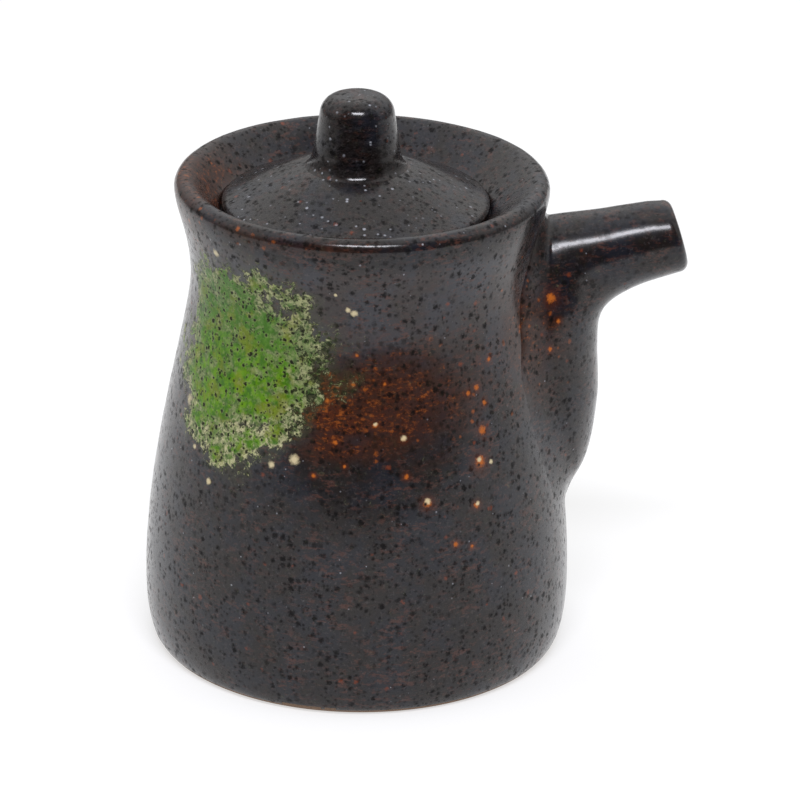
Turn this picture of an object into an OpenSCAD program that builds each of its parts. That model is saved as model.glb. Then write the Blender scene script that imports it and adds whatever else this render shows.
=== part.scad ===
// Lidded sauce pot with a side spout, in glazed stoneware.
// The pot wall and the spout are luted and fired into one rigid piece. The lid and its
// knob are fired into another, which lifts straight up out of the mouth.
// Origin: centre of the foot, on the surface that the pot stands on. +Z is up and the
// spout points along +X.

/* [Pot wall] */
// Height of the lip above the surface the pot stands on
pot_h = 86.3; // [85:0.1:90]
// Radius of the foot where it meets that surface
foot_r = 34.3; // [33.5:0.1:35]
// Largest radius, low on the belly
belly_r = 37.5; // [37:0.1:39]
// Height of the largest radius
belly_z = 12; // [10:0.5:14]
// Smallest radius, below the lip
waist_r = 29.6; // [29.2:0.1:30.4]
// Height of the waist
waist_z = 68.5; // [67:0.5:70]
// Outer radius of the lip
lip_r = 32.5; // [32:0.1:33.5]
// Rounding of the lip, half the lip's thickness
lip_round = 1.9; // [1.6:0.1:2.1]
// Thickness of the wall
wall_t = 3.5; // [3:0.1:4]
// Thickness of the floor above the recess
floor_t = 4.2; // [3.5:0.1:5]
// Width of the ring that the pot stands on
foot_ring_w = 5; // [3.5:0.5:7]
// Depth of the recess inside that ring
foot_recess = 1.8; // [1:0.1:2.5]

/* [Mouth] */
// Depth of the lid's ledge below the lip
ledge_drop = 6.9; // [6.5:0.1:7.3]
// How far the ledge and its lid sit off the pot's axis, away from the spout
mouth_off = 1.1; // [0:0.1:1.3]
// Radius of the recess that holds the lid's edge
mouth_r = 23.6; // [23.4:0.1:23.8]
// Radius of the throat inside the ledge
throat_r = 20.6; // [20.4:0.1:21]
// Height of the throat's straight stretch
throat_h = 3; // [2:0.5:4]

/* [Spout] */
// Distance of the tip's centre from the pot's axis
tip_x = 55.8; // [54:0.1:58]
// Height of the tip's centre
tip_z = 74.1; // [73:0.1:75]
// Upward tilt of the spout's tube, in degrees
spout_tilt = 16; // [14:0.5:18]
// Outer radius at the tip
tip_r = 6.5; // [6.2:0.1:6.8]
// Radius of the straight bore at the tip
tip_bore_r = 3.9; // [3.6:0.1:4.1]
// Depth of that bore
tip_bore_depth = 7; // [5:0.5:9]
// Thickness of the spout's wall
spout_t = 2.5; // [2.3:0.1:2.8]
// Radius of the hole that feeds the spout through the pot's wall
pour_hole_r = 4.5; // [3:0.5:5.5]
// Height of that hole
pour_hole_z = 47; // [44:1:50]

/* [Lid] */
// Radius of the lid's edge
lid_r = 23.2; // [22.9:0.1:23.4]
// Height of the lid's edge above its ledge
lid_edge_h = 3; // [2.6:0.1:3.2]
// Height of the lid's crown above its ledge
lid_crown_h = 8.8; // [8.4:0.1:9.4]
// Thickness of the lid at its centre
lid_t = 3.6; // [3:0.1:4]
// Outer radius of the flange that drops into the throat
flange_r = 19.9; // [19.5:0.1:20.1]
// Thickness of the flange
flange_t = 2.6; // [2:0.1:3]
// Depth of the flange below the ledge
flange_depth = 5; // [3:0.5:7]

/* [Knob] */
// Height of the knob above the lid's crown
knob_h = 12.8; // [11.3:0.5:15.8]
// Radius of the knob's spread base
knob_base_r = 8.6; // [8.2:0.1:9]
// Radius of the knob where that base has narrowed into its stem
knob_stem_r = 7.5; // [7.2:0.1:7.8]
// Radius of the knob below its rounded top
knob_top_r = 6.5; // [6.2:0.1:6.8]
// Rounding of the knob's top
knob_round = 3.4; // [2.8:0.1:4]

/* [Hidden] */

$fn = 120;
curve_steps = 8;      // straight pieces in each curved stretch of an outline
ring_sides = 24;      // sides round the spout
ring_steps = 4;       // rings between one spout station and the next
over = 1;             // how far a cutter runs past what it cuts
trim = 0.5;           // clay left inside the recess and the throat for their cutters
tip_round = 1.6;      // rounding of the spout's end

glaze_brown = "#2e2624";
glaze_lid = "#3a3231";

ledge_z = pot_h - ledge_drop;
floor_z = foot_recess + floor_t;
lip_z = pot_h - lip_round;
crown_z = ledge_z + lid_crown_h;
recess_in = mouth_r - mouth_off - trim;
throat_in = throat_r - mouth_off - trim;

// Point at t along the cubic curve from a to d, pulled towards b and then c
function bezier(a, b, c, d, t) =
    pow(1 - t, 3) * a + 3 * pow(1 - t, 2) * t * b + 3 * (1 - t) * t * t * c + t * t * t * d;

// Points along that curve, with its start left out so that stretches can follow each other
function curve(a, b, c, d, steps = curve_steps) =
    [for (i = [1:steps]) bezier(a, b, c, d, i / steps)];

// Points of an arc, from one angle to another
function arc(centre, r, from, to, steps = curve_steps) =
    [for (i = [0:steps])
        let (angle = from + (to - from) * i / steps)
        centre + r * [cos(angle), sin(angle)]];

// ---- Pot wall ----

// Outside of the pot, from the foot up to the lip
outer_wall = concat(
    [[foot_r, 0]],
    curve([foot_r, 0], [foot_r + 2.2, 0], [belly_r, belly_z - 7], [belly_r, belly_z]),
    curve([belly_r, belly_z], [belly_r, belly_z + 23.5],
          [waist_r, waist_z - 8], [waist_r, waist_z], 2 * curve_steps),
    curve([waist_r, waist_z], [waist_r, waist_z + 7.5],
          [lip_r, lip_z - 3], [lip_r, lip_z]));

// Inside of the pot, from the lip down over the ledge and the throat to the floor
inner_wall = concat(
    arc([lip_r - lip_round, lip_z], lip_round, 20, 100),
    curve(arc([lip_r - lip_round, lip_z], lip_round, 100, 100, 1)[0],
          [lip_r - 2 * lip_round - 0.2, pot_h - 0.4],
          [recess_in + 2.6, ledge_z + 3], [recess_in, ledge_z + 1.2]),
    [[recess_in, ledge_z], [throat_in, ledge_z], [throat_in, ledge_z - throat_h]],
    curve([throat_in, ledge_z - throat_h], [throat_in + 1, ledge_z - throat_h - 3],
          [waist_r - wall_t, waist_z + 4], [waist_r - wall_t, waist_z - 2]),
    curve([waist_r - wall_t, waist_z - 2], [waist_r - wall_t, waist_z - 12],
          [belly_r - wall_t, belly_z + 24], [belly_r - wall_t, belly_z + 4]),
    curve([belly_r - wall_t, belly_z + 4], [belly_r - wall_t, belly_z - 2],
          [foot_r - wall_t, floor_z], [foot_r - 2 * wall_t, floor_z]),
    [[0, floor_z]]);

// Underside of the pot, from the recess out to the ring that it stands on
underside = [
    [0, foot_recess], [foot_r - foot_ring_w - foot_recess, foot_recess],
    [foot_r - foot_ring_w, 0]];

module pot_solid() {
    rotate_extrude() polygon(concat(outer_wall, [[0, pot_h]], [[0, 0]]));
}

module pot_body() {
    color(glaze_brown)
    difference() {
        rotate_extrude() polygon(concat(outer_wall, inner_wall, underside));
        translate([-mouth_off, 0, ledge_z])
            cylinder(r = mouth_r, h = ledge_drop + over);
        translate([-mouth_off, 0, ledge_z - flange_depth - over])
            cylinder(r = throat_r, h = flange_depth + 2 * over);
        translate([0, 0, pour_hole_z])
            rotate([0, 90, 0]) cylinder(r = pour_hole_r, h = belly_r + over);
    }
}

// ---- Spout ----

tube_along = [cos(spout_tilt), sin(spout_tilt)];
tube_across = [-sin(spout_tilt), cos(spout_tilt)];
tip = [tip_x, tip_z];

// Stations up the spout, from its root low on the pot to its tip. Each is the outermost
// point and the innermost point, as [x, z], and half the width there. The low ones swell
// out of the pot as a pouch, with their inner points well inside the pot's wall, and the
// high ones turn over into the tube.
stations = [
    [[36, 22], [28, 22], 6],
    [[38, 28.4], [22, 29], 10],
    [[40.8, 34.6], [14.5, 36], 12.6],
    [[42.2, 45], [9, 48], 14.4],
    [[41.9, 54], [10, 60], 13.6],
    [[42.2, 59.6], [18, 69.5], 11.4],
    [[44.4, 62.6], [28, 76.5], 8.3],
    [[49.5, 65.4], [42.4, 78.8], 7.1],
    [tip - tip_r * tube_across, tip + tip_r * tube_across, tip_r]];

// A value that runs smoothly through its neighbours p and q, with o before and r after
function through(o, p, q, r, t) =
    0.5 * (2 * p + (q - o) * t + (2 * o - 5 * p + 4 * q - r) * t * t
           + (3 * p - o - 3 * q + r) * t * t * t);

// Stations between station 0 and station last, each narrowed all round by inset
function spread(first, last, inset) =
    [for (i = [first:last - 1], j = [0:ring_steps - (i == last - 1 ? 0 : 1)])
        let (o = stations[max(i - 1, 0)], p = stations[i], q = stations[i + 1],
             r = stations[min(i + 2, len(stations) - 1)], t = j / ring_steps,
             low = through(o[0], p[0], q[0], r[0], t),
             high = through(o[1], p[1], q[1], r[1], t),
             half = through(o[2], p[2], q[2], r[2], t),
             inward = (high - low) / norm(high - low))
        [low + inset * inward, high - inset * inward, half - inset]];

// One ring of points round a station
function ring(s) =
    let (middle = (s[0] + s[1]) / 2, reach = (s[0] - s[1]) / 2)
    [for (k = [0:ring_sides - 1])
        let (angle = 360 * k / ring_sides, p = middle + cos(angle) * reach)
        [p[0], s[2] * sin(angle), p[1]]];

// Closed solid through a row of rings
module loft(rings) {
    n = ring_sides;
    points = [for (r = rings) each ring(r)];
    last = n * (len(rings) - 1);
    faces = concat(
        [for (i = [0:len(rings) - 2], k = [0:n - 1], half = [0, 1])
            let (a = n * i + k, b = n * i + (k + 1) % n)
            half == 0 ? [a, b + n, b] : [a, a + n, b + n]],
        [[for (k = [0:n - 1]) k]],
        [[for (k = [n - 1:-1:0]) last + k]]);
    polyhedron(points, faces, convexity = 6);
}

// Ring of radius r across the tube, at a distance back from the tip
function tube_station(r, back) =
    let (centre = tip - back * tube_along)
    [centre - r * tube_across, centre + r * tube_across, r];

// Stations that round the spout's end over, from its full radius in to the flat of the end
rounded_tip = [
    for (angle = [0:30:90])
        tube_station(tip_r - tip_round * (1 - cos(angle)), tip_round * (1 - sin(angle)))];

module spout() {
    shaft = spread(0, len(stations) - 1, 0);
    color(glaze_brown)
    difference() {
        loft(concat([for (i = [0:len(shaft) - 2]) shaft[i]], rounded_tip));
        loft(concat(spread(1, len(stations) - 2, spout_t),
                    [tube_station(tip_bore_r - 0.3, tip_bore_depth - 0.5)]));
        pot_solid();
        translate([tip_x, 0, tip_z]) rotate([0, 90 - spout_tilt, 0])
            translate([0, 0, -tip_bore_depth])
                cylinder(r = tip_bore_r, h = tip_bore_depth + over);
    }
}

// ---- Lid ----

// Underside of the lid, from its centre out over the flange to the face on the ledge
lid_underside = concat(
    [[0, crown_z - lid_t]],
    curve([0, crown_z - lid_t], [7, crown_z - lid_t],
          [flange_r - flange_t - 4, ledge_z + 2.6], [flange_r - flange_t, ledge_z]),
    [[flange_r - flange_t, ledge_z - flange_depth + 0.8],
     [flange_r - flange_t + 0.8, ledge_z - flange_depth],
     [flange_r - 0.8, ledge_z - flange_depth],
     [flange_r, ledge_z - flange_depth + 0.8],
     [flange_r, ledge_z], [lid_r - 0.4, ledge_z], [lid_r, ledge_z + 0.4]]);

// Top of the lid, from its rounded edge up to the flat that the knob stands on
lid_top = concat(
    arc([lid_r - 1, ledge_z + lid_edge_h - 1], 1, 0, 65, 4),
    curve([lid_r - 0.6, ledge_z + lid_edge_h - 0.1], [lid_r - 5, ledge_z + lid_edge_h + 1.6],
          [knob_base_r + 4.5, crown_z - 1.2], [knob_base_r, crown_z]),
    [[0, crown_z]]);

module lid() {
    color(glaze_lid)
    translate([-mouth_off, 0, 0])
        rotate_extrude() polygon(concat(lid_underside, lid_top));
}

// ---- Knob ----

knob_side = concat(
    [[knob_base_r, crown_z]],
    curve([knob_base_r, crown_z], [knob_base_r - 0.5, crown_z + 0.5],
          [knob_stem_r + 0.2, crown_z + 1.6], [knob_stem_r, crown_z + 3.2]),
    arc([knob_top_r - knob_round, crown_z + knob_h - knob_round], knob_round, 0, 90));

module lid_knob() {
    color(glaze_brown)
    translate([-mouth_off, 0, 0])
        rotate_extrude() polygon(concat([[0, crown_z]], knob_side, [[0, crown_z + knob_h]]));
}

pot_body();
spout();
lid();
lid_knob();
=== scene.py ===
"""A lidded stoneware sauce pot with a side spout: the glazed finish of its four clay pieces.

Outlines are in millimetres and made into meshes in metres. The pot's axis is Z, its foot
stands at zero, and the spout points along +X.
"""
import math

import bpy
from mathutils import Matrix, Vector, noise


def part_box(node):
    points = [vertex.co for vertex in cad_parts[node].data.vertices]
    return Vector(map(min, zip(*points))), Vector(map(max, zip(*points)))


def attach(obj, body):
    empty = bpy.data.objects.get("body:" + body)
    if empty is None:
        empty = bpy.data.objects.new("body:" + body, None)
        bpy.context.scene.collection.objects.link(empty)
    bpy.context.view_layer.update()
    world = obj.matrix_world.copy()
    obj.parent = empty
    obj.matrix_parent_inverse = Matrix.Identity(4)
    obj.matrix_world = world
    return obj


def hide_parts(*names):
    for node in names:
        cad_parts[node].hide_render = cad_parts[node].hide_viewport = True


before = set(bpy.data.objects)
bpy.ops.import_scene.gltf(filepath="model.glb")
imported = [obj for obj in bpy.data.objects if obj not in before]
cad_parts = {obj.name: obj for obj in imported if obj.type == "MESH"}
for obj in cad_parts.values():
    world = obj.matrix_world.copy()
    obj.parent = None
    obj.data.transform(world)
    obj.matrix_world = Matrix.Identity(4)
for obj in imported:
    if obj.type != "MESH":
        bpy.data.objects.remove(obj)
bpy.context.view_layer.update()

MM = 0.001


# ---- Sizes, read off the CAD pieces ----

def size_of(node):
    """Lowest and highest corner of a CAD piece, in millimetres."""
    low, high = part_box(node)
    return Vector(low) / MM, Vector(high) / MM


_, POT_HIGH = size_of("pot_body")
LID_LOW, LID_HIGH = size_of("lid")
_, KNOB_HIGH = size_of("lid_knob")

BELLY_R = POT_HIGH.y
LIP_TOP = POT_HIGH.z
LID_R = LID_HIGH.y
LID_X = (LID_LOW.x + LID_HIGH.x) / 2
CROWN = LID_HIGH.z
KNOB_TOP = KNOB_HIGH.z
KNOB_BASE_R = KNOB_HIGH.y

# How many flat sides the turned pieces have
POT_SIDES = 352
LID_SIDES = 300
KNOB_SIDES = 160

# What the boxes don't tell, as the CAD part has it
FOOT_R = 34.3
BELLY_HEIGHT = 12.0
WAIST_R = 29.6
WAIST_HEIGHT = 68.5
LIP_R = 32.5
LIP_ROUND = 1.9
WALL = 3.5
FLOOR = 6.0
FOOT_RING = 5.0
FOOT_RECESS = 1.8
LEDGE = LIP_TOP - 6.9
MOUTH_R = 23.6
THROAT_R = 20.6
THROAT_STRAIGHT = 3.0
FLANGE_R = 19.9
FLANGE_WALL = 2.6
FLANGE_DEPTH = 5.0
FLANGE_ROUND = 0.8
LID_EDGE = LEDGE + 3.0
LID_THICK = 3.6
KNOB_STEM_R = 7.5
KNOB_TOP_R = 6.5
KNOB_ROUND = 3.4
POUR_HOLE_R = 4.5
POUR_HOLE_HEIGHT = 47.0
SPOUT_TILT = math.radians(16)
SPOUT_TIP = Vector((55.8, 74.1))
TIP_R = 6.5
TIP_ROUND = 1.6
TIP_BORE_R = 3.9
TIP_BORE_DEPTH = 7.0
SPOUT_WALL = 2.5


# ---- Outlines ----

def bend(a, b, c, d, steps):
    """Points along the cubic curve from a to d, pulled towards b and then c, without a."""
    a, b, c, d = Vector(a), Vector(b), Vector(c), Vector(d)
    out = []
    for i in range(1, steps + 1):
        t = i / steps
        u = 1 - t
        out.append(u ** 3 * a + 3 * u * u * t * b + 3 * u * t * t * c + t ** 3 * d)
    return out


def arc(centre, radius, start, stop, steps=12):
    """Points of an arc about centre, between two angles in degrees, both ends kept."""
    out = []
    for i in range(steps + 1):
        angle = math.radians(start + (stop - start) * i / steps)
        out.append(Vector(centre) + radius * Vector((math.cos(angle), math.sin(angle))))
    return out


def even(line, step):
    """The same line with its points about step apart, its two ends kept."""
    line = [Vector(p) for p in line]
    at = [0.0]
    for p, q in zip(line, line[1:]):
        at.append(at[-1] + (q - p).length)
    count = max(1, round(at[-1] / step))
    out, k = [], 0
    for i in range(count + 1):
        want = at[-1] * i / count
        while k < len(at) - 2 and at[k + 1] < want:
            k += 1
        span = at[k + 1] - at[k]
        out.append(line[k].lerp(line[k + 1], (want - at[k]) / span if span else 0))
    return out


def chain(*lines):
    """Lines end to end, with a shared end kept once."""
    out = []
    for line in lines:
        for p in line:
            if not out or (Vector(p) - out[-1]).length > 1e-6:
                out.append(Vector(p))
    return out


OUTER_WALL = chain(
    [(FOOT_R, 0)],
    bend((FOOT_R, 0), (FOOT_R + 2.2, 0), (BELLY_R, BELLY_HEIGHT - 7), (BELLY_R, BELLY_HEIGHT), 24),
    bend((BELLY_R, BELLY_HEIGHT), (BELLY_R, BELLY_HEIGHT + 23.5),
         (WAIST_R, WAIST_HEIGHT - 8), (WAIST_R, WAIST_HEIGHT), 60),
    bend((WAIST_R, WAIST_HEIGHT), (WAIST_R, WAIST_HEIGHT + 7.5),
         (LIP_R, LIP_TOP - LIP_ROUND - 3), (LIP_R, LIP_TOP - LIP_ROUND), 24))


def wall_radius(height):
    """Outer radius of the pot at a height."""
    low, high = 0, len(OUTER_WALL) - 1
    height = min(max(height, 0.0), OUTER_WALL[-1].y)
    while high - low > 1:
        middle = (low + high) // 2
        if OUTER_WALL[middle].y <= height:
            low = middle
        else:
            high = middle
    a, b = OUTER_WALL[low], OUTER_WALL[high]
    return a.x + (b.x - a.x) * (height - a.y) / max(b.y - a.y, 1e-9)


def wall_out(p):
    """Unit vector straight out of the pot's wall beside the point p."""
    slope = (wall_radius(p.z + 0.3) - wall_radius(p.z - 0.3)) / 0.6
    flat = Vector((p.x, p.y, 0)).normalized()
    return (flat - Vector((0, 0, slope))).normalized()


def onto_wall(p, proud=0.0):
    """The point of the pot's wall beside p, or one a little proud of it."""
    radius = wall_radius(p.z) + proud
    flat = Vector((p.x, p.y, 0)).normalized() * radius
    return Vector((flat.x, flat.y, p.z))


# ---- How thick the glaze lies ----

# Places on the wall, as the angle about the axis from the spout in degrees, the height,
# and half the spans round and up the wall in millimetres
ASH = (-139, 60.5, 19, 18)
# the same for the places of rust, and how strong each is
RUST = [
    (-86, 57, 20, 12, 0.75),      # beside the ash
    (-104, 55, 7, 10, 1.0),       # where the ash runs out into it
    (-124, 84.4, 25, 1.7, 0.45),  # under the lip
    (176, 84, 20, 7, 0.75),       # inside the lip
    (-30, 62, 10, 15, 0.6)]       # on the spout's flank


def smooth(value, low, high):
    """0 below low, 1 above high, and an even S between. Low may be the higher one."""
    t = min(max((value - low) / (high - low), 0.0), 1.0)
    return t * t * (3 - 2 * t)


def off_centre(p, angle, height):
    """How far p lies round the wall and up it from a place on the pot, in millimetres."""
    turn = math.degrees(math.atan2(p.y, p.x)) - angle
    turn = (turn + 180) % 360 - 180
    return math.radians(turn) * math.hypot(p.x, p.y), p.z - height


def on_wall(angle, height):
    """The point of the pot's wall at an angle about the axis and a height."""
    turn, radius = math.radians(angle), wall_radius(height)
    return Vector((radius * math.cos(turn), radius * math.sin(turn), height))


def ash_cover(p):
    """How much ash glaze lies at p: 1 in the patch's heart, 0 well outside it."""
    angle, height, wide, tall = ASH
    across, up = off_centre(p, angle, height)
    # the patch narrows on its right towards its foot, where the glaze ran down
    if across > 0:
        wide *= 1 - 0.28 * smooth(-up, 0, tall)
    reach = math.hypot(across / wide, up / tall)
    ragged = 0.3 * noise.fractal(p * 0.16, 1.0, 2.0, 3) + 0.12 * noise.noise(p * 0.75)
    return smooth(reach + ragged, 1.35, 0.3)


def rust_cover(p):
    """How much the iron in the glaze has broken to rust at p."""
    ragged = 0.35 * noise.fractal(Vector((p.x, p.y, p.z * 2.5)) * 0.13, 1.0, 2.0, 3)
    most = 0.0
    for angle, height, wide, tall, strength in RUST:
        across, up = off_centre(p, angle, height)
        reach = math.hypot(across / wide, up / tall) + ragged
        most = max(most, strength * smooth(reach, 1.4, 0.2))
    return most


def glaze_lift(p, ash):
    """How far the fired glaze stands off the turned form at p, in millimetres."""
    lean = 0.16 * noise.noise(Vector((p.x, p.y, p.z * 0.6)) * 0.035 + Vector((3, 1, 7)))
    ripple = 0.035 * noise.noise(p * 0.22)
    peel = 0.01 * noise.noise(p * 0.6)
    crust = ash * (0.16 + 0.12 * noise.noise(p * 0.5) + 0.06 * noise.noise(p * 1.3))
    return lean + ripple + peel + crust


# ---- Meshes ----

def closed_mesh(name, points, faces, lifted, marked):
    """A smooth-shaded piece from points in millimetres, with its glaze laid on.

    The points that lifted says move out by the glaze's thickness, along the form's own
    normals. The covers of ash and rust are stored on a marked piece for the glaze to read.
    """
    mesh = bpy.data.meshes.new(name)
    mesh.from_pydata([p * MM for p in points], [], faces)
    mesh.validate()
    mesh.update()
    normals = [v.normal.copy() for v in mesh.vertices]
    ash = mesh.attributes.new("ash", "FLOAT", "POINT")
    rust = mesh.attributes.new("rust", "FLOAT", "POINT")
    for v, p, out in zip(mesh.vertices, points, normals):
        share = lifted(p)
        if share > 0:
            crust = ash_cover(p) if marked else 0.0
            v.co = (p + out * glaze_lift(p, crust) * share) * MM
            ash.data[v.index].value = crust * share
            rust.data[v.index].value = rust_cover(p) * share if marked else 0.0
    for face in mesh.polygons:
        face.use_smooth = True
    mesh.update()
    piece = bpy.data.objects.new(name, mesh)
    bpy.context.scene.collection.objects.link(piece)
    return piece


def turned(name, outline, sides, lifted, centre, marked=False):
    """A piece turned on the wheel: the outline, from axis to axis, swept round.

    The function centre gives the place on X that a point of the outline turns about.
    """
    points, faces, rows = [], [], []
    for p in outline:
        if p.x < 1e-6:
            rows.append([len(points)])
            points.append(Vector((centre(p), 0, p.y)))
            continue
        rows.append(list(range(len(points), len(points) + sides)))
        for k in range(sides):
            angle = 2 * math.pi * k / sides
            points.append(Vector((centre(p) + p.x * math.cos(angle), p.x * math.sin(angle), p.y)))
    for low, high in zip(rows, rows[1:]):
        for k in range(sides):
            n = (k + 1) % sides
            if len(low) == 1:
                faces.append((low[0], high[n], high[k]))
            elif len(high) == 1:
                faces.append((low[k], low[n], high[0]))
            else:
                faces.append((low[k], low[n], high[n], high[k]))
    return closed_mesh(name, points, faces, lifted, marked)


def pot_wall():
    """The pot itself, from the foot up over the lip and down inside to its floor."""
    lip_height = LIP_TOP - LIP_ROUND
    inner_waist = WAIST_R - WALL
    inner_belly = BELLY_R - WALL
    throat_foot = LEDGE - THROAT_STRAIGHT
    lip = arc((LIP_R - LIP_ROUND, lip_height), LIP_ROUND, 0, 100, 12)
    funnel = bend(lip[-1], (LIP_R - 2 * LIP_ROUND - 0.2, LIP_TOP - 0.4),
                  (MOUTH_R + 2.1, LEDGE + 3.1), (MOUTH_R, LEDGE + 1.3), 24)
    ledge = chain(arc((MOUTH_R - 0.5, LEDGE + 0.5), 0.5, 0, -90, 4),
                  arc((THROAT_R + 0.5, LEDGE - 0.5), 0.5, 90, 180, 4),
                  [(THROAT_R, throat_foot)])
    shoulder = bend(ledge[-1], (THROAT_R + 1, throat_foot - 3),
                    (inner_waist, WAIST_HEIGHT + 4), (inner_waist, WAIST_HEIGHT - 2), 12)
    inside = bend(shoulder[-1], (inner_waist, WAIST_HEIGHT - 12),
                  (inner_belly, BELLY_HEIGHT + 24), (inner_belly, BELLY_HEIGHT + 4), 30)
    hollow = bend(inside[-1], (inner_belly, BELLY_HEIGHT - 2),
                  (FOOT_R - WALL, FLOOR), (FOOT_R - 2 * WALL, FLOOR), 12)
    ring_in = FOOT_R - FOOT_RING
    foot = chain([(0, FOOT_RECESS), (ring_in - FOOT_RECESS, FOOT_RECESS)],
                 [(ring_in, 0.25), (ring_in + 0.5, 0), (FOOT_R, 0)])
    outline = chain(
        even(foot, 0.9),
        even(OUTER_WALL, 0.58),
        even(lip, 0.4),
        even(funnel, 0.5),
        even(ledge, 0.5),
        even(shoulder, 1.2),
        even(inside, 2.2),
        even(chain(hollow, [(0, FLOOR)]), 2.5))

    def glazed(p):
        return smooth(p.z, 0.2, 1.5) * smooth(math.hypot(p.x, p.y), MOUTH_R, MOUTH_R + 2)

    def off_axis(p):
        """The mouth and the throat sit with the lid, a little off the pot's axis."""
        inside = smooth(p.x, LIP_R - 2, MOUTH_R)
        return LID_X * inside * smooth(p.y, WAIST_HEIGHT - 10, LEDGE - 4)

    pot = turned("pot_body", outline, POT_SIDES, glazed, off_axis, marked=True)
    cut_pour_hole(pot)
    return pot


def cut_pour_hole(pot):
    """Bores the hole that feeds the spout through the pot's wall."""
    sides = 48
    points, faces = [], []
    for x in (BELLY_R - 12, BELLY_R - 1):
        for k in range(sides):
            angle = 2 * math.pi * k / sides
            points.append(Vector((x, POUR_HOLE_R * math.cos(angle),
                                  POUR_HOLE_HEIGHT + POUR_HOLE_R * math.sin(angle))))
    for k in range(sides):
        n = (k + 1) % sides
        faces.append((k, n, n + sides, k + sides))
    faces.append(tuple(reversed(range(sides))))
    faces.append(tuple(range(sides, 2 * sides)))
    drill = closed_mesh("drill", points, faces, lambda p: 0.0, marked=False)
    cut = pot.modifiers.new("pour hole", "BOOLEAN")
    cut.object = drill
    cut.operation = "DIFFERENCE"
    cut.solver = "EXACT"
    apply_modifiers(pot)
    bpy.data.objects.remove(drill)


def apply_modifiers(piece):
    """Makes the piece's modifiers part of its mesh."""
    graph = bpy.context.evaluated_depsgraph_get()
    mesh = bpy.data.meshes.new_from_object(piece.evaluated_get(graph), depsgraph=graph)
    piece.modifiers.clear()
    piece.data = mesh


# ---- The spout ----

ALONG = Vector((math.cos(SPOUT_TILT), math.sin(SPOUT_TILT)))
ACROSS = Vector((-ALONG.y, ALONG.x))

FILLET_STEPS = 16
SKIN_END = 0.95         # the station where the skin hands over to the tip's straight end
BORE_STATION = 7 / 8    # the station where the hollow narrows to the straight bore
BORE_ROUND = 0.7        # rounding of the bore's mouth
WALL_BITE = 0.7         # how far the spout reaches into the wall, to be joined to it

# Stations up the spout, as in the CAD part: outermost point and innermost point in the
# plane of the spout, and half the width there. Low ones are the pouch, high ones the tube.
STATIONS = [
    ((36, 22), (28, 22), 6),
    ((38, 28.4), (22, 29), 10),
    ((40.8, 34.6), (14.5, 36), 12.6),
    ((42.2, 45), (9, 48), 14.4),
    ((41.9, 54), (10, 60), 13.6),
    ((42.2, 59.6), (18, 69.5), 11.4),
    ((44.4, 62.6), (28, 76.5), 8.3),
    ((49.5, 65.4), (42.4, 78.8), 7.1),
    (SPOUT_TIP - TIP_R * ACROSS, SPOUT_TIP + TIP_R * ACROSS, TIP_R)]
STATIONS = [Vector((*low, *high, half)) for low, high, half in STATIONS]


def station(s, inset=0.0):
    """The station s of the way from the spout's root to its tip, narrowed all round."""
    last = len(STATIONS) - 1
    i = min(int(s * last), last - 1)
    t = s * last - i
    o, p, q, r = (STATIONS[min(max(j, 0), last)] for j in (i - 1, i, i + 1, i + 2))
    at = 0.5 * (2 * p + (q - o) * t + (2 * o - 5 * p + 4 * q - r) * t * t
                + (3 * p - o - 3 * q + r) * t ** 3)
    low, high = Vector(at[:2]), Vector(at[2:4])
    inward = (high - low).normalized()
    return low + inset * inward, high - inset * inward, at[4] - inset


def spout_skin(s, turn, inset=0.0):
    """The point of the spout at station s, turned round its section from the underside."""
    low, high, half = station(s, inset)
    p = (low + high) / 2 + math.cos(turn) * (low - high) / 2
    return Vector((p.x, half * math.sin(turn), p.y))


def tube_point(radius, back, turn):
    """A point round the straight end of the tube, at a distance back from the tip."""
    p = SPOUT_TIP - back * ALONG - math.cos(turn) * radius * ACROSS
    return Vector((p.x, radius * math.sin(turn), p.y))


def leaves_wall(turn, inset=0.0, proud=0.0):
    """The station where the spout's skin comes out through the pot's wall."""
    def outside(s):
        p = spout_skin(s, turn, inset)
        return math.hypot(p.x, p.y) - wall_radius(p.z) - proud
    steps = 160
    low = 0.0
    for i in range(steps, -1, -1):
        if outside(i / steps) < 0:
            low = i / steps
            break
    high = min(low + 1 / steps, 1.0)
    for _ in range(18):
        middle = (low + high) / 2
        if outside(middle) < 0:
            low = middle
        else:
            high = middle
    return high


def seam(count):
    """Places evenly spaced along the line where spout and wall meet: (station, turn)."""
    fine = []
    for k in range(1441):
        turn = -math.pi + 2 * math.pi * k / 1440
        s = leaves_wall(turn)
        fine.append((s, turn, spout_skin(s, turn)))
    at = [0.0]
    for a, b in zip(fine, fine[1:]):
        at.append(at[-1] + (b[2] - a[2]).length)
    out, k = [], 0
    for i in range(count):
        want = at[-1] * i / count
        while at[k + 1] < want:
            k += 1
        t = (want - at[k]) / max(at[k + 1] - at[k], 1e-9)
        out.append((fine[k][0] + (fine[k + 1][0] - fine[k][0]) * t,
                    fine[k][1] + (fine[k + 1][1] - fine[k][1]) * t))
    return out


def slopes(s, turn):
    """How the spout's skin runs with station and with turn."""
    ds, dt = 0.002, 0.004
    ahead, behind = min(s + ds, 1), s - ds
    along = (spout_skin(ahead, turn) - spout_skin(behind, turn)) / (ahead - behind)
    round_ = (spout_skin(s, turn + dt) - spout_skin(s, turn - dt)) / (2 * dt)
    return along, round_


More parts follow.
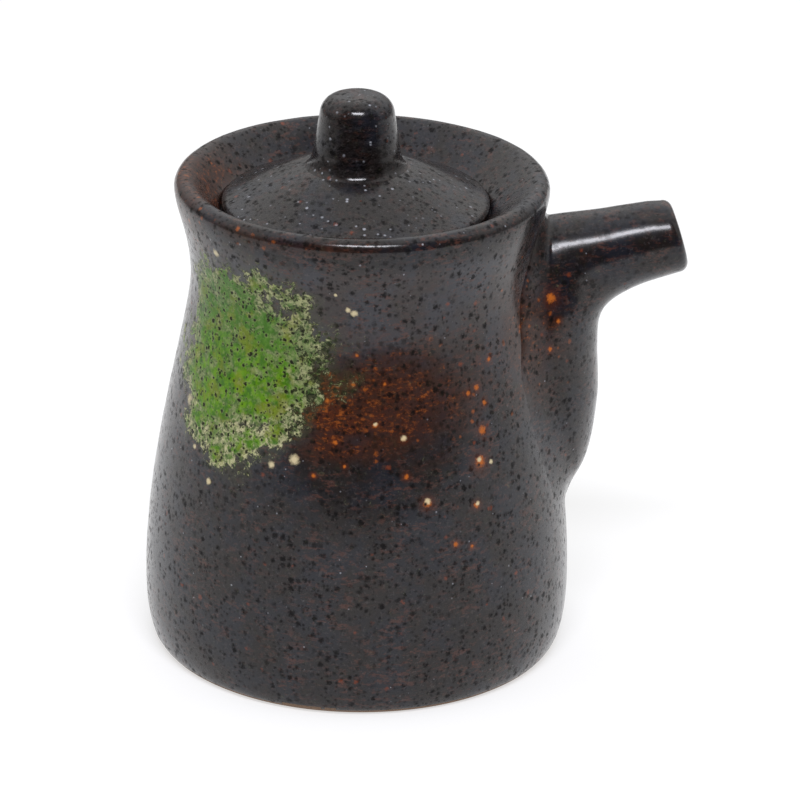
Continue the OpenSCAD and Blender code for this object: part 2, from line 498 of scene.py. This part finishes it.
def walk(s, turn, way, far):
    """Where a walk over the spout's skin ends, from a place and a heading: (station, turn)."""
    steps = 6
    for _ in range(steps):
        along, round_ = slopes(s, turn)
        out = along.cross(round_).normalized()
        flat = (way - way.dot(out) * out).normalized() * (far / steps)
        # the two slopes aren't square to each other, so this solves for both at once
        aa, ar, rr = along.dot(along), along.dot(round_), round_.dot(round_)
        fa, fr = flat.dot(along), flat.dot(round_)
        whole = aa * rr - ar * ar
        s += (fa * rr - fr * ar) / whole
        turn += (fr * aa - fa * ar) / whole
        way = flat
    return s, turn


def fillet(before, place, after):
    """The smoothed clay where the spout meets the wall, from the wall to the spout's skin.

    Gives its points and the place on the spout where it ends. It is wide and soft on the
    pouch's flanks, and higher up it starts from a low edge on the wall.
    """
    s, turn = place
    corner = spout_skin(s, turn)
    run = (spout_skin(*after) - spout_skin(*before)).normalized()
    along, round_ = slopes(s, turn)
    skin_out = along.cross(round_).normalized()
    if skin_out.dot(corner - Vector((30, 0, 62))) < 0:
        skin_out = -skin_out
    up_spout = run.cross(skin_out).normalized()
    if up_spout.dot(wall_out(corner)) < 0:
        up_spout = -up_spout
    off_spout = run.cross(wall_out(corner)).normalized()
    if off_spout.dot(skin_out) < 0:
        off_spout = -off_spout
    # how far the fillet reaches to either side of the seam changes with height
    flank = smooth(corner.z, 25, 33) * (1 - smooth(corner.z, 50, 62))
    high = smooth(corner.z, 50, 64)
    top = smooth(corner.z, 70, 77)
    lift = 0.1 + 1.2 * high - 0.7 * top
    on_spout = lift + 0.6 + 4.2 * flank + 2.6 * high * (1 - top) + 1.4 * top
    on_wall = 0.9 + 6.6 * flank + 2.7 * high - 0.6 * top
    end = walk(s, turn, up_spout, on_spout)
    crease = corner + up_spout * lift
    finish = spout_skin(*end)
    start = onto_wall(corner + off_spout * on_wall, -0.06)
    # high up the wall turns over a low edge and runs straight down to the spout
    edge = start.lerp(finish, 0.16) + wall_out(start) * 0.5 * (1 - top)
    first = onto_wall(corner + off_spout * on_wall * 0.4).lerp(edge, high)
    last = crease.lerp(finish, 0.35)
    return [start] + bend(start, first, last, finish, FILLET_STEPS), end


def spout_piece():
    """The spout: a pouch luted to the wall that turns out into a short tube."""
    count, rows_up, rows_in = 200, 96, 34
    places = seam(count)
    columns = []
    for k in range(count):
        strip, (s, turn) = fillet(places[k - 1], places[k], places[(k + 1) % count])
        tip_turn = -math.pi + 2 * math.pi * k / count
        column = [onto_wall(strip[0], -WALL_BITE)] + strip
        for i in range(1, rows_up):
            t = i / rows_up
            bow = t * t * (3 - 2 * t)
            column.append(spout_skin(s + (SKIN_END - s) * t, turn + (tip_turn - turn) * bow))
        for angle in range(0, 91, 15):
            lean = math.radians(angle)
            column.append(tube_point(TIP_R - TIP_ROUND * (1 - math.cos(lean)),
                                     TIP_ROUND * (1 - math.sin(lean)), tip_turn))
        for angle in range(90, -1, -18):
            lean = math.radians(angle)
            column.append(tube_point(TIP_BORE_R + BORE_ROUND * (1 - math.cos(lean)),
                                     BORE_ROUND * (1 - math.sin(lean)), tip_turn))
        for i in range(1, 7):
            back = BORE_ROUND + (TIP_BORE_DEPTH - BORE_ROUND) * i / 6
            column.append(tube_point(TIP_BORE_R, back, tip_turn))
        root = leaves_wall(turn, SPOUT_WALL, -WALL_BITE)
        for i in range(rows_in + 1):
            t = i / rows_in
            column.append(spout_skin(BORE_STATION + (root - BORE_STATION) * t,
                                     tip_turn + (turn - tip_turn) * t, SPOUT_WALL))
        columns.append(column)
    rows = len(columns[0])
    points = [p for column in columns for p in column]
    faces = []
    for k in range(count):
        n = (k + 1) % count
        for i in range(rows):
            j = (i + 1) % rows
            faces.append((k * rows + i, n * rows + i, n * rows + j, k * rows + j))

    def glazed(p):
        return smooth(math.hypot(p.x, p.y) - wall_radius(p.z), -0.5, -0.1)

    return closed_mesh("spout", points, faces, glazed, marked=True)


# ---- The lid and its knob ----

def lid_piece():
    """The domed lid, with the flange that drops into the throat."""
    crown_under = CROWN - LID_THICK
    flange_in = FLANGE_R - FLANGE_WALL
    flange_foot = LEDGE - FLANGE_DEPTH
    under = chain(
        [(0, crown_under)],
        bend((0, crown_under), (7, crown_under),
             (flange_in - 4, LEDGE + 2.6), (flange_in, LEDGE), 16),
        [(flange_in, flange_foot + FLANGE_ROUND)],
        arc((flange_in + FLANGE_ROUND, flange_foot + FLANGE_ROUND), FLANGE_ROUND, 180, 270, 5),
        arc((FLANGE_R - FLANGE_ROUND, flange_foot + FLANGE_ROUND), FLANGE_ROUND, 270, 360, 5),
        [(FLANGE_R, LEDGE - 0.4), (FLANGE_R + 0.3, LEDGE)],
        arc((LID_R - 0.6, LEDGE + 0.6), 0.6, 270, 360, 5))
    edge = arc((LID_R - 1, LID_EDGE - 1), 1, 0, 65, 6)
    dome = chain(
        bend((LID_R - 0.6, LID_EDGE - 0.1), (LID_R - 5, LID_EDGE + 1.6),
             (KNOB_BASE_R + 4.5, CROWN - 1.2), (KNOB_BASE_R, CROWN), 30),
        [(0, CROWN)])
    outline = chain(even(under, 0.8), even(edge, 0.35), even(dome, 0.45))
    return turned("lid", outline, LID_SIDES, lambda p: smooth(p.z, LEDGE + 0.2, LEDGE + 1),
                  lambda p: LID_X)


def knob_piece():
    """The pinch knob, spread where it is luted to the lid."""
    side = chain(
        [(0, CROWN - 0.7), (KNOB_BASE_R + 0.6, CROWN - 0.7)],
        bend((KNOB_BASE_R + 0.6, CROWN - 0.25), (KNOB_BASE_R - 0.4, CROWN + 0.2),
             (KNOB_STEM_R + 0.2, CROWN + 1.4), (KNOB_STEM_R, CROWN + 3.2), 20),
        arc((KNOB_TOP_R - KNOB_ROUND, KNOB_TOP - KNOB_ROUND), KNOB_ROUND, 4, 82, 16),
        [(0, KNOB_TOP)])
    return turned("lid_knob", even(side, 0.3), KNOB_SIDES,
                  lambda p: smooth(p.z, CROWN - 0.6, CROWN),
                  lambda p: LID_X)


# ---- Glazes ----

class Value:
    """A shader socket that takes part in Python sums."""

    def __init__(self, recipe, socket):
        self.recipe = recipe
        self.socket = socket

    def math(self, operation, *others):
        return self.recipe.node("ShaderNodeMath", {"operation": operation},
                                dict(enumerate((self, *others))))

    def __add__(self, other):
        return self.math("ADD", other)

    def __sub__(self, other):
        return self.math("SUBTRACT", other)

    def __rsub__(self, other):
        return self.recipe.node("ShaderNodeMath", {"operation": "SUBTRACT"}, {0: other, 1: self})

    def __mul__(self, other):
        return self.math("MULTIPLY", other)

    __radd__ = __add__
    __rmul__ = __mul__

    def most(self, other):
        """The larger of the two."""
        return self.math("MAXIMUM", other)

    def above(self, low, high):
        """0 below low, 1 above high, and an even S between. Low may be the higher one."""
        return self.recipe.node(
            "ShaderNodeMapRange", {"interpolation_type": "SMOOTHSTEP"},
            {"Value": self, "From Min": low, "From Max": high})


class Recipe:
    """A glaze being mixed: a material, its surface and the marks that go into it."""

    def __init__(self, name):
        self.material = bpy.data.materials.new(name)
        self.material.use_nodes = True
        self.tree = self.material.node_tree
        self.surface = self.tree.nodes["Principled BSDF"]
        self.place = self.node("ShaderNodeTexCoord", output="Object")
        self.place = self.stretch(self.place, (1 / MM, 1 / MM, 1 / MM))

    def node(self, kind, settings=None, inputs=None, output=0):
        """A node with its settings, and the values or links of its sockets."""
        made = self.tree.nodes.new(kind)
        for key, value in (settings or {}).items():
            setattr(made, key, value)
        for key, value in (inputs or {}).items():
            if isinstance(value, Value):
                self.tree.links.new(value.socket, made.inputs[key])
            else:
                made.inputs[key].default_value = value
        return Value(self, made.outputs[output])

    def stretch(self, place, by):
        return self.node("ShaderNodeVectorMath", {"operation": "MULTIPLY"}, {0: place, 1: by})

    def shifted(self, *by):
        """The place on the piece, moved, so that one pattern doesn't fall on another."""
        return self.node("ShaderNodeVectorMath", {"operation": "ADD"}, {0: self.place, 1: by})

    def cover(self, name):
        """How thickly a stored cover lies, such as ash or rust."""
        return self.node("ShaderNodeAttribute", {"attribute_name": name}, output="Fac")

    def height(self):
        """How high on the piece, in millimetres."""
        return self.node("ShaderNodeSeparateXYZ", {}, {0: self.place}, "Z")

    def side(self):
        """How far towards the spout, in millimetres."""
        return self.node("ShaderNodeSeparateXYZ", {}, {0: self.place}, "X")

    def cloud(self, size, detail=2.0, roughness=0.5, at=None, warp=0.0):
        """Soft noise from 0 to 1 whose lumps are about size millimetres across."""
        return self.node("ShaderNodeTexNoise", {"noise_dimensions": "3D"},
                         {"Vector": at or self.place, "Scale": 1 / size, "Detail": detail,
                          "Roughness": roughness, "Distortion": warp}, "Fac")

    def dots(self, spacing, smallest, largest, at=None, soft=0.25, frayed=0.0):
        """Dots about spacing apart, with radii between two sizes: 1 in, 0 out.

        Those whose radius comes out below nothing are left out.
        """
        cell = self.tree.nodes.new("ShaderNodeTexVoronoi")
        self.tree.links.new((at or self.place).socket, cell.inputs["Vector"])
        cell.inputs["Scale"].default_value = 1 / spacing
        far = Value(self, cell.outputs["Distance"]) * spacing
        chance = self.node("ShaderNodeSeparateColor", {}, {0: Value(self, cell.outputs["Color"])})
        radius = chance * (largest - smallest) + smallest
        near = (radius - far + frayed * radius).above(-soft * largest, soft * largest)
        return near * radius.above(0.0, 0.05)

    def spots(self, places, reach=1.0, soft=0.6):
        """Ragged spots at places on the glaze: 1 in, 0 out."""
        frayed = (self.cloud(0.5, 3, 0.7) - 0.5) * 1.6
        most = 0.0
        for place, radius in places:
            far = self.node("ShaderNodeVectorMath", {"operation": "DISTANCE"},
                            {0: self.place, 1: place}, "Value")
            edge = radius * reach
            near = (far + frayed * radius).above(edge * (1 + soft), edge * (1 - soft))
            most = near.most(most)
        return most

    def mix(self, share, a, b):
        """Colour a, turning to colour b as share goes to 1."""
        return self.node("ShaderNodeMix", {"data_type": "RGBA"}, {0: share, 6: a, 7: b}, 2)

    def bump(self, height):
        """A normal from a height in millimetres."""
        return self.node("ShaderNodeBump", {}, {"Height": height, "Strength": 1.0, "Distance": MM})

    def finish(self, inputs):
        """Sets or links the surface's sockets and gives the finished material."""
        for key, value in inputs.items():
            if isinstance(value, Value):
                self.tree.links.new(value.socket, self.surface.inputs[key])
            else:
                self.surface.inputs[key].default_value = value
        return self.material


def shade(red, green, blue):
    """A colour given as it is seen on a screen, from 0 to 255."""
    def linear(c):
        c /= 255
        return c / 12.92 if c <= 0.04045 else ((c + 0.055) / 1.055) ** 2.4
    return (linear(red), linear(green), linear(blue), 1.0)


def spot_places(on_the_wall, on_the_spout=()):
    """Places and radii of marks set one by one.

    Those on the wall are given as angle about the axis, height and radius, and those on
    the spout as station, turn and radius.
    """
    places = [(on_wall(angle, height), radius) for angle, height, radius in on_the_wall]
    places += [(spout_skin(s, math.radians(turn)), radius) for s, turn, radius in on_the_spout]
    return places


ORANGE_SPOTS = spot_places([
    (-58, 44.3, 1.1), (-76, 39, 0.8), (-60.5, 37, 0.6), (-82.5, 50.5, 0.5), (-91, 53, 0.5),
    (-54, 54, 0.5), (-50, 61, 0.5), (-60, 56.5, 0.5), (-56, 49.5, 0.8), (-68, 31, 0.5),
    (-63, 30, 0.4), (-82, 44, 0.5), (-56.5, 57, 0.55), (-98, 60, 0.4), (-103, 50, 0.45),
    (-97, 65, 0.35), (-106, 57, 0.4), (-88, 60, 0.35), (-100, 46, 0.35), (-109, 44, 0.4)],
    [(0.67, -90, 0.9), (0.61, -101, 0.45), (0.615, -73, 0.45), (0.53, -70, 0.45),
     (0.6, -84, 0.3), (0.37, -81, 0.5)])
PALE_SPOTS = spot_places([
    (-58.3, 44.7, 0.4), (-54, 43.7, 0.35), (-76, 39.3, 0.5), (-60.2, 37.2, 0.35),
    (-82.5, 50.6, 0.45), (-91, 53.2, 0.3), (-115, 46.3, 0.75), (-122, 44.8, 0.5),
    (-159, 50, 0.9), (-143.5, 38.5, 0.5), (-98, 72.6, 0.5), (-100, 73.2, 0.4),
    (-152, 43, 0.4), (-112, 69, 0.3), (-104, 76, 0.25), (-148, 79, 0.6)])
PINHOLES = spot_places([(-76.6, 38.9, 0.3), (-58.6, 43.8, 0.3), (-92, 63, 0.3)])


def dark_ground(g, level, warmth, marked):
    """Near black that drifts to slate and breaks to brown, with painted sheen high on the wall."""
    drift = g.cloud(8, 3, 0.6).above(0.42, 0.62)
    ground = g.mix(drift, shade(25, 19, 18), shade(24, 25, 33))
    if marked:
        # painted sheen: paler high on the wall, below the lip, but not on the spout, standing in
        # for the pale table's reflection there
        tall = (g.height() + g.cloud(14, 2, 0.5) * 24).above(52, 92) * g.height().above(82.5, 79)
        tall = tall * g.side().above(31, 27)
        ground = g.mix(tall, ground, g.mix(drift, shade(52, 45, 44), shade(52, 52, 58)))
    broken = g.cloud(1.3, 3, 0.75, level).above(0.5, 0.64)
    where = g.cloud(9, 3, 0.6, g.shifted(4, 8, 15)).above(0.38, 0.62)
    return g.mix(broken * (where * 0.8 + 0.2) * warmth, ground, shade(80, 47, 38))


def black_specks(g, frayed):
    """Dull black specks, ragged and in loose shoals, and fainter out along the spout."""
    shoals = g.cloud(7, 2, 0.5).above(0.3, 0.55)
    large = g.dots(1.3, -0.05, 0.56, g.shifted(7, 2, 3), 0.55, frayed)
    small = g.dots(0.8, -0.05, 0.3, g.shifted(11, 5, 8), 0.6, frayed)
    specks = (large * (shoals * 0.5 + 0.5)).most(small * (shoals * 0.5 + 0.3))
    return specks * (g.side().above(42, 33) * 0.4 + 0.6)


def pale_bubbles_and_glints(g, pebble):
    """Tiny pale bubble dots, a few on the wall and more on a pebbly glaze. Their bluish white is
    partly painted glints of lamplight.
    """
    bubbles_and_glints = g.dots(1.5 - 0.35 * pebble, -0.35 + 0.1 * pebble, 0.18 + 0.1 * pebble,
                     g.shifted(5, 5, 1), 0.5)
    return bubbles_and_glints * g.cloud(5, 2, 0.6, g.shifted(2, 8, 4)).above(0.35, 0.55)


def rusted(g, ground, rust, level, specks, frayed):
    """The ground with its rust: a burnt glow with glints, black specks and orange crumbs."""
    streaks = g.cloud(2.2, 5, 0.72, level, 0.6)
    grains = g.cloud(0.8, 3, 0.75, g.stretch(g.place, (0.8, 0.8, 1.3)))
    burnt = (rust * 0.55 + streaks + grains * 0.6).above(1.1, 1.5) * rust.above(0.02, 0.35)
    ground = g.mix(rust.above(0.05, 0.8) * 0.7, ground, shade(60, 31, 17))
    ember = g.mix(grains.above(0.48, 0.64), shade(76, 33, 14), shade(138, 72, 26))
    ground = g.mix(burnt * 0.9, ground, ember)
    crumbs = g.dots(1.9, -0.35, 0.42, g.shifted(6, 1, 9), 0.6, frayed)
    ground = g.mix(crumbs * rust.above(0.02, 0.3) * 0.8, ground, shade(152, 78, 26))
    soot = g.dots(1.25, -0.1, 0.42, g.shifted(3, 7, 7), 0.5, frayed)
    ground = g.mix(soot.most(specks) * rust.above(0.05, 0.4) * 0.92, ground, shade(13, 10, 9))
    # stray flecks, away from the rust too
    flecks = g.dots(2.6, -0.8, 0.42, g.shifted(1, 6, 2), 0.6, frayed)
    return g.mix(flecks * 0.7, ground, shade(118, 52, 26))


def ash_crust(g, ash, lumps, frayed):
    """Green pools in a sage froth, pinholed, torn on the right and edged with cream.

    Gives where it lies, its colour, and the gaps in it.
    """
    reach = ash + (lumps - 0.5) * 1.3 + (g.cloud(3.4, 3, 0.6) - 0.5) * 0.5
    right = g.side().above(-20, -9)
    pools = g.cloud(3.2, 4, 0.6, g.shifted(3, 3, 9), 0.8) + ash * 0.24 + right * -0.17
    depth = g.cloud(1.3, 3, 0.6, g.shifted(8, 3, 1))
    grass = g.mix(g.height().above(58, 70), shade(96, 142, 4), shade(78, 120, 44))
    grass = g.mix(depth.above(0.35, 0.65), grass, shade(58, 104, 18))
    froth = g.cloud(1.1, 4, 0.7, g.shifted(6, 2, 2), 0.6)
    sage = g.mix(froth.above(0.36, 0.66), shade(62, 88, 40), shade(140, 148, 100))
    heart = g.mix(pools.above(0.54, 0.76), sage, grass)
    yellowed = g.cloud(4, 3, 0.6, g.shifted(8, 9, 1)).above(0.5, 0.64)
    heart = g.mix(yellowed * 0.45, heart, shade(128, 128, 24))

    low = g.height().above(58, 49)
    cream = g.mix(froth.above(0.42, 0.58), shade(80, 94, 54), shade(200, 194, 152))
    rim = (reach + (pools - 0.7) * 0.5).above(0.7, 0.42)
    crust = g.mix(rim * (low * 0.4 + 0.4), heart, cream)

    torn = g.cloud(1.1, 4, 0.7, g.shifted(4, 9, 2), 0.6) + right * -0.14 + ash * 0.08
    hole_place = g.shifted(2, 4, 6)
    pale_rings = g.dots(0.95, 0.1, 0.52, hole_place, 0.4, frayed)
    crust = g.mix(pale_rings * 0.35, crust, shade(160, 168, 110))
    holes = g.dots(0.95, -0.04, 0.36, hole_place, 0.3, frayed)
    fine_holes = g.dots(0.7, -0.1, 0.22, g.shifted(9, 1, 3), 0.35, frayed)
    gaps = holes.most(fine_holes * 0.85).most(torn.above(0.42, 0.35) * 0.9)
    return reach.above(0.37, 0.44), g.mix(gaps * 0.94, crust, shade(20, 19, 14)), gaps


def ash_veil(g, ground, ash, lumps):
    """The ground under a thin grey-green veil with pale curls, past the ash patch's edge."""
    veil = (ash * 1.2 + (lumps - 0.5) * 1.2).above(0.0, 0.6)
    ground = g.mix(veil * 0.45, ground, shade(66, 70, 44))
    curls = g.cloud(0.9, 3, 0.7, g.shifted(7, 5, 5), 1.0).above(0.6, 0.67)
    return g.mix(curls * veil * 0.7, ground, shade(142, 146, 108))


def iron_glaze(name, sheen, warmth, pebble=0.0, marked=True):
    """Glossy iron glaze: near black, mottled, with dull specks, rust and a green ash glaze.

    Sheen is how rough its gloss is, warmth how brown it breaks, and pebble how bumpy it
    lies. The marks set one by one go on a marked glaze.
    """
    g = Recipe(name)
    rust = g.cover("rust")
    ash = g.cover("ash")
    level = g.stretch(g.place, (0.65, 0.65, 1.6))
    fine = g.cloud(0.6, 3, 0.7)
    frayed = (g.cloud(0.45, 2, 0.6) - 0.5) * 2.6
    specks = black_specks(g, frayed)
    bubbles_and_glints = pale_bubbles_and_glints(g, pebble)

    colour = dark_ground(g, level, warmth, marked)
    colour = g.mix(fine.above(0.54, 0.72) * 0.4, colour, shade(80, 74, 74))
    colour = g.mix(specks * 0.88, colour, shade(12, 10, 11))
    # pale bubble dots: their bluish white is partly painted glints of lamplight on the bumpy glaze
    colour = g.mix(bubbles_and_glints * (0.65 + 0.2 * pebble), colour, shade(170, 172, 180))
    colour = rusted(g, colour, rust, level, specks, frayed)
    dull = (specks * 0.8).most(rust.above(0.2, 0.9) * 0.3)

    if marked:
        colour = g.mix(g.spots(ORANGE_SPOTS, 1.6, 0.9) * 0.5, colour, shade(92, 40, 18))
        bright = g.spots(ORANGE_SPOTS, 0.75, 0.6)
        colour = g.mix(bright * 0.9, colour, shade(186, 100, 34))
        colour = g.mix(g.spots(PALE_SPOTS) * 0.9, colour, shade(216, 200, 158))
        colour = g.mix(g.spots(PINHOLES), colour, shade(20, 14, 12))
        dull = dull.most(bright * 0.6)

    lumps = g.cloud(1.4, 5, 0.75, None, 0.8)
    inside, crust, gaps = ash_crust(g, ash, lumps, frayed)
    colour = g.mix(inside, ash_veil(g, colour, ash, lumps), crust)
    dull = dull.most(inside * 0.55).most(gaps * inside * 0.9)

    relief = fine * 0.03 - specks * 0.03 + bubbles_and_glints * (0.06 + 0.08 * pebble)
    if pebble:
        relief = relief + g.cloud(1.5, 3, 0.7, g.shifted(9, 9, 2)) * 1.1 * pebble
    relief = relief + inside * (lumps * 0.25 - gaps * 0.25 + 0.1)
    return g.finish({
        "Base Color": colour, "Roughness": 0.5, "Specular IOR Level": 0.05,
        "Coat Weight": 1 - dull, "Coat Roughness": sheen, "Coat IOR": 1.42,
        "Normal": g.bump(relief)})


def bare_clay(name):
    """The unglazed stoneware that the pot stands on."""
    c = Recipe(name)
    grain = c.cloud(0.8, 4, 0.7)
    grit = c.dots(1.6, 0.0, 0.3)
    colour = c.mix(grain, shade(96, 74, 58), shade(138, 112, 90))
    colour = c.mix(grit * 0.7, colour, shade(52, 40, 34))
    return c.finish({"Base Color": colour, "Roughness": 0.85,
                     "Normal": c.bump(grain * 0.12)})


def dress(piece, body, slot, glaze, *nodes):
    """Gives a piece its glaze and its body, and hides the CAD nodes that it stands for. The slot
    is not used.
    """
    piece.data.materials.clear()
    piece.data.materials.append(glaze)
    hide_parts(*nodes)
    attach(piece, body)


def clay_foot(pot, clay):
    """Gives the ring that the pot stands on, and the recess inside it, the bare clay."""
    pot.data.materials.append(clay)
    for face in pot.data.polygons:
        if face.center.z < (FOOT_RECESS + 0.2) * MM and face.normal.z < -0.55:
            face.material_index = 1


pot_glaze = iron_glaze("iron glaze", sheen=0.19, warmth=0.7)
lid_glaze = iron_glaze("lid glaze", sheen=0.16, warmth=0.4, pebble=1.0, marked=False)
clay = bare_clay("bare stoneware")

pot = pot_wall()
dress(pot, "pot", "pot_glaze", pot_glaze, "pot_body")
clay_foot(pot, clay)
dress(spout_piece(), "pot", "pot_glaze", pot_glaze, "spout")
dress(lid_piece(), "lid", "lid_glaze", lid_glaze, "lid")
dress(knob_piece(), "lid", "lid_glaze", lid_glaze, "lid_knob")


# ---- Studio ----

def white_table():
    """A plain pale surface under the pot that ends before it reaches the viewer."""
    half, front, back = 0.8, -0.42, 1.6
    mesh = bpy.data.meshes.new("table")
    mesh.from_pydata([(-half, front, 0), (half, front, 0), (half, back, 0), (-half, back, 0)],
                     [], [(0, 1, 2, 3)])
    table = bpy.data.objects.new("table", mesh)
    bpy.context.scene.collection.objects.link(table)
    paper = Recipe("white paper")
    mesh.materials.append(paper.finish({"Base Color": (0.42, 0.42, 0.42, 1), "Roughness": 0.9,
                                        "Specular IOR Level": 0.1,
                                        "Emission Color": (1, 1, 1, 1), "Emission Strength": 0.6}))


def room_light():
    """A white room, dimmer low down and dark on the viewer's side."""
    world = bpy.data.worlds.new("room")
    bpy.context.scene.world = world
    world.use_nodes = True
    tree = world.node_tree
    nodes, links = tree.nodes, tree.links
    way = nodes.new("ShaderNodeTexCoord")

    def fade(direction, start, stop, first, last):
        """Light that goes from first to last as a ray turns towards a direction."""
        toward = nodes.new("ShaderNodeVectorMath")
        toward.operation = "DOT_PRODUCT"
        toward.inputs[1].default_value = direction
        links.new(way.outputs["Generated"], toward.inputs[0])
        ramp = nodes.new("ShaderNodeMapRange")
        ramp.interpolation_type = "SMOOTHSTEP"
        for key, value in {"From Min": start, "From Max": stop,
                           "To Min": first, "To Max": last}.items():
            ramp.inputs[key].default_value = value
        links.new(toward.outputs["Value"], ramp.inputs["Value"])
        return ramp.outputs[0]

    both = nodes.new("ShaderNodeMath")
    both.operation = "MULTIPLY"
    links.new(fade((0.0, -0.97, 0.25), 0.3, 0.62, 1.0, 0.06), both.inputs[0])
    links.new(fade((0.0, 0.0, 1.0), 0.0, 0.7, 0.31, 1.12), both.inputs[1])
    links.new(both.outputs[0], nodes["Background"].inputs["Strength"])
    nodes["Background"].inputs["Color"].default_value = (1, 1, 1, 1)


def lamp(name, place, aim, size, power):
    """A rectangular lamp at place, facing aim, in metres and watts."""
    light = bpy.data.lights.new(name, "AREA")
    light.shape = "RECTANGLE"
    light.size, light.size_y = size
    light.energy = power
    light.color = (0.93, 0.93, 1.0)
    holder = bpy.data.objects.new(name, light)
    bpy.context.scene.collection.objects.link(holder)
    facing = (Vector(aim) - Vector(place)).to_track_quat("-Z", "Y")
    holder.matrix_world = Matrix.Translation(place) @ facing.to_matrix().to_4x4()


def viewer():
    """The camera: from just above, with the spout a little turned away from it."""
    elevation, turned_by, far = math.radians(23.12), math.radians(-6), 0.9
    back = Vector((math.sin(turned_by) * math.cos(elevation),
                   -math.cos(turned_by) * math.cos(elevation), math.sin(elevation)))
    aim = Vector((0, 0, LIP_TOP / 2 * MM))
    camera = bpy.data.cameras.new("viewer")
    camera.sensor_width = 36
    camera.lens = 230
    camera.shift_x, camera.shift_y = 0.051, 0.0058
    camera.clip_start, camera.clip_end = 0.05, 20
    holder = bpy.data.objects.new("viewer", camera)
    bpy.context.scene.collection.objects.link(holder)
    upright = (-back).to_track_quat("-Z", "Y").to_matrix().to_4x4()
    roll = Matrix.Rotation(math.radians(0.82), 4, "Z")
    holder.matrix_world = Matrix.Translation(aim + back * far) @ upright @ roll
    bpy.context.scene.camera = holder


white_table()
room_light()
lamp("strip", (-0.035, -0.55, 0.865), (0.04, 0, 0.07), (0.46, 0.16), 7)
viewer()
bpy.context.scene.view_settings.view_transform = "Standard"
